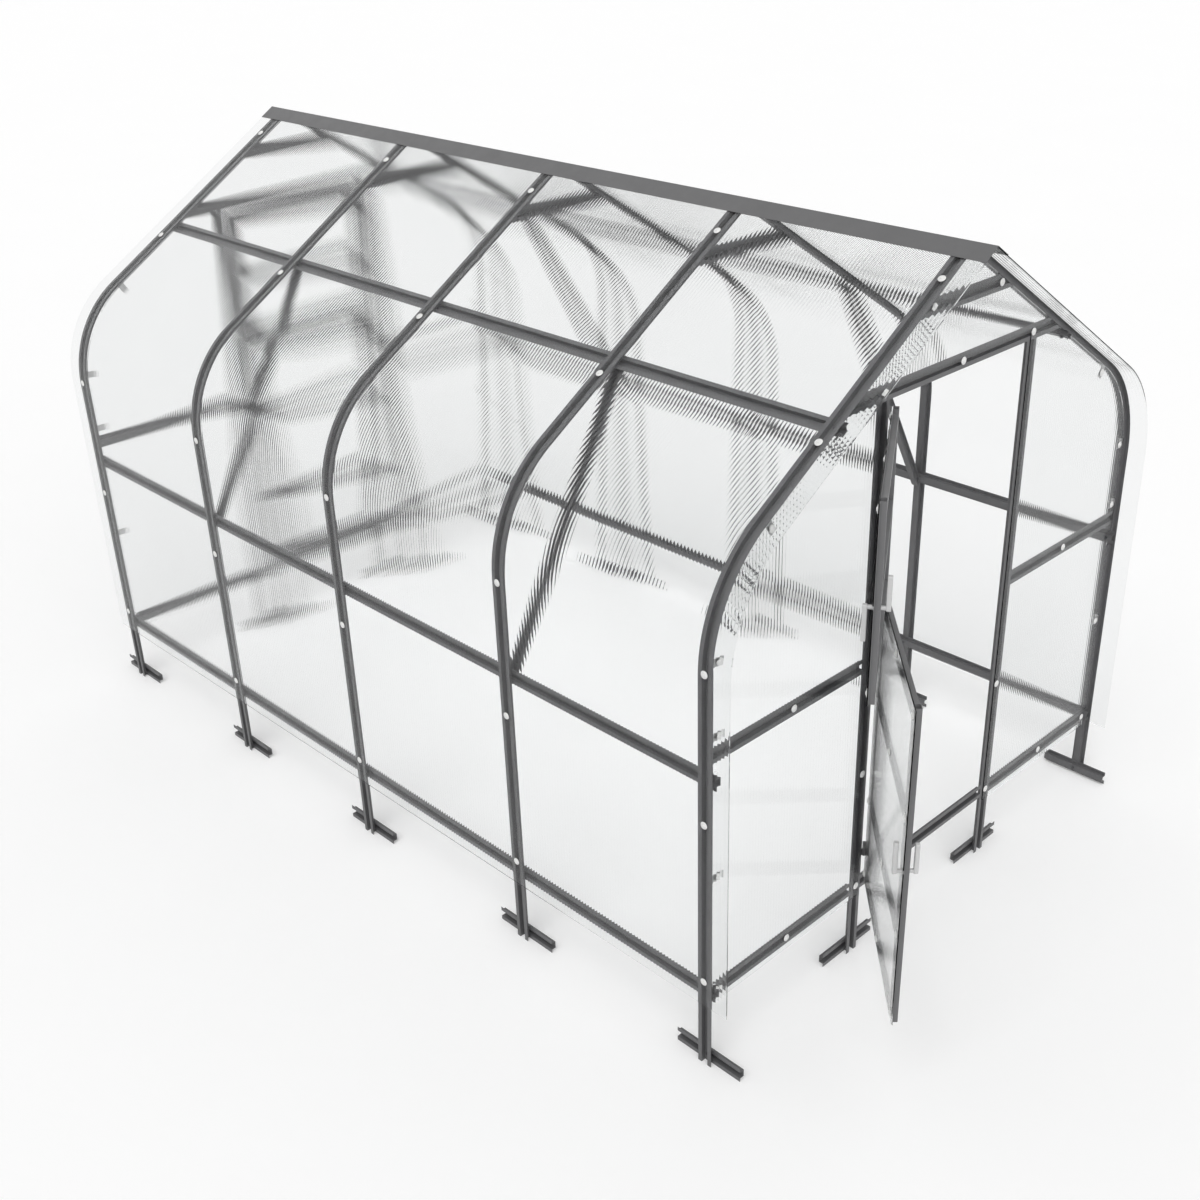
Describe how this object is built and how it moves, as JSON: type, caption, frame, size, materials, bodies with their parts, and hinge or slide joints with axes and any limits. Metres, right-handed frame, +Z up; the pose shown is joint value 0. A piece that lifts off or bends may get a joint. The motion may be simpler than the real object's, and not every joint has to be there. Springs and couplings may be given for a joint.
{
  "type": "polycarbonate greenhouse",
  "caption": "Walk-in garden greenhouse with curved eaves: folded steel arches and rails clad in clear ribbed twin-wall sheet, with a ridge cap, foot bars and a split hinged door at each end.",
  "frame": {"origin": "on the ground under the middle of the whole outline, with the front door open as stored; the middle of the arches lies 225 mm behind it on the same centre line", "axes": "+Z up, +Y along the ridge from the front door to the rear door, +X to the right seen from the front"},
  "size_m": [2.5646, 4.7486, 2.6909],
  "materials": {
    "frame_steel": "satin anthracite paint",
    "cap_steel": "satin grey paint",
    "bolt_steel": "blackened",
    "clip_steel": "zinc plated",
    "hinge_steel": "satin anthracite paint",
    "clear_sheet": "clear with fine ribs",
    "washer_plastic": "white",
    "latch_plastic": "light grey"
  },
  "bodies": {
    "frame": {"arch_1_left": "frame_steel", "arch_1_right": "frame_steel", "arch_2_left": "frame_steel", "arch_2_right": "frame_steel", "arch_3_left": "frame_steel", "arch_3_right": "frame_steel", "arch_4_left": "frame_steel", "arch_4_right": "frame_steel", "arch_5_left": "frame_steel", "arch_5_right": "frame_steel", "base_rail_left": "frame_steel", "base_rail_right": "frame_steel", "foot_bars": "frame_steel", "frame_bolts": "bolt_steel", "frame_washers": "washer_plastic", "front_base_rails": "frame_steel", "front_collar_tie": "frame_steel", "front_lintel": "frame_steel", "front_mid_rails": "frame_steel", "front_panels": "clear_sheet", "front_post_left": "frame_steel", "front_post_right": "frame_steel", "hinge_pins": "hinge_steel", "inner_collar_ties": "frame_steel", "knee_braces_left": "frame_steel", "knee_braces_right": "frame_steel", "mid_rail_left": "frame_steel", "mid_rail_right": "frame_steel", "panel_clips": "clip_steel", "rear_base_rails": "frame_steel", "rear_collar_tie": "frame_steel", "rear_lintel": "frame_steel", "rear_mid_rails": "frame_steel", "rear_panels": "clear_sheet", "rear_post_left": "frame_steel", "rear_post_right": "frame_steel", "ridge_cap": "cap_steel", "roof_purlin_left": "frame_steel", "roof_purlin_right": "frame_steel", "side_sheet_front_left": "clear_sheet", "side_sheet_front_right": "clear_sheet", "side_sheet_rear_left": "clear_sheet", "side_sheet_rear_right": "clear_sheet"},
    "front_upper_leaf": {"front_upper_leaf_frame": "frame_steel", "front_upper_leaf_panel": "clear_sheet", "front_upper_leaf_washers": "washer_plastic"},
    "front_upper_latch": {"front_upper_latch": "latch_plastic"},
    "front_lower_leaf": {"front_lower_leaf_frame": "frame_steel", "front_lower_leaf_panel": "clear_sheet", "front_lower_leaf_washers": "washer_plastic"},
    "front_lower_latch": {"front_lower_latch": "latch_plastic"},
    "rear_upper_leaf": {"rear_upper_leaf_frame": "frame_steel", "rear_upper_leaf_panel": "clear_sheet", "rear_upper_leaf_washers": "washer_plastic"},
    "rear_upper_latch": {"rear_upper_latch": "latch_plastic"},
    "rear_lower_leaf": {"rear_lower_leaf_frame": "frame_steel", "rear_lower_leaf_panel": "clear_sheet", "rear_lower_leaf_washers": "washer_plastic"},
    "rear_lower_latch": {"rear_lower_latch": "latch_plastic"}
  },
  "joints": [
    {"name": "front_upper_hinge", "type": "hinge", "parent": "frame", "child": "front_upper_leaf", "pos_m": [-0.405, -1.79119, 1], "axis": [0, 0, 1], "range_deg": [-13.6, 146.4]},
    {"name": "front_upper_latch_turn", "type": "hinge", "parent": "front_upper_leaf", "child": "front_upper_latch", "pos_m": [-1.04277, -2.23173, 1.905], "axis": [0.5534, -0.8329, 0], "range_deg": [0, 90]},
    {"name": "front_lower_hinge", "type": "hinge", "parent": "frame", "child": "front_lower_leaf", "pos_m": [-0.405, -1.79119, 1], "axis": [0, 0, 1], "range_deg": [-23.9, 136.1]},
    {"name": "front_lower_latch_turn", "type": "hinge", "parent": "front_lower_leaf", "child": "front_lower_latch", "pos_m": [-0.95372, -2.33867, 0.972], "axis": [0.6934, -0.7206, 0], "range_deg": [0, 90]},
    {"name": "rear_upper_hinge", "type": "hinge", "parent": "frame", "child": "rear_upper_leaf", "pos_m": [0.405, 2.24081, 1], "axis": [0, 0, 1], "range_deg": [-160, 0]},
    {"name": "rear_upper_latch_turn", "type": "hinge", "parent": "rear_upper_leaf", "child": "rear_upper_latch", "pos_m": [-0.37, 2.22681, 1.905], "axis": [0, -1, 0], "range_deg": [0, 90]},
    {"name": "rear_lower_hinge", "type": "hinge", "parent": "frame", "child": "rear_lower_leaf", "pos_m": [0.405, 2.24081, 1], "axis": [0, 0, 1], "range_deg": [-160, 0]},
    {"name": "rear_lower_latch_turn", "type": "hinge", "parent": "rear_lower_leaf", "child": "rear_lower_latch", "pos_m": [-0.37, 2.22681, 0.972], "axis": [0, -1, 0], "range_deg": [0, 90]}
  ]
}
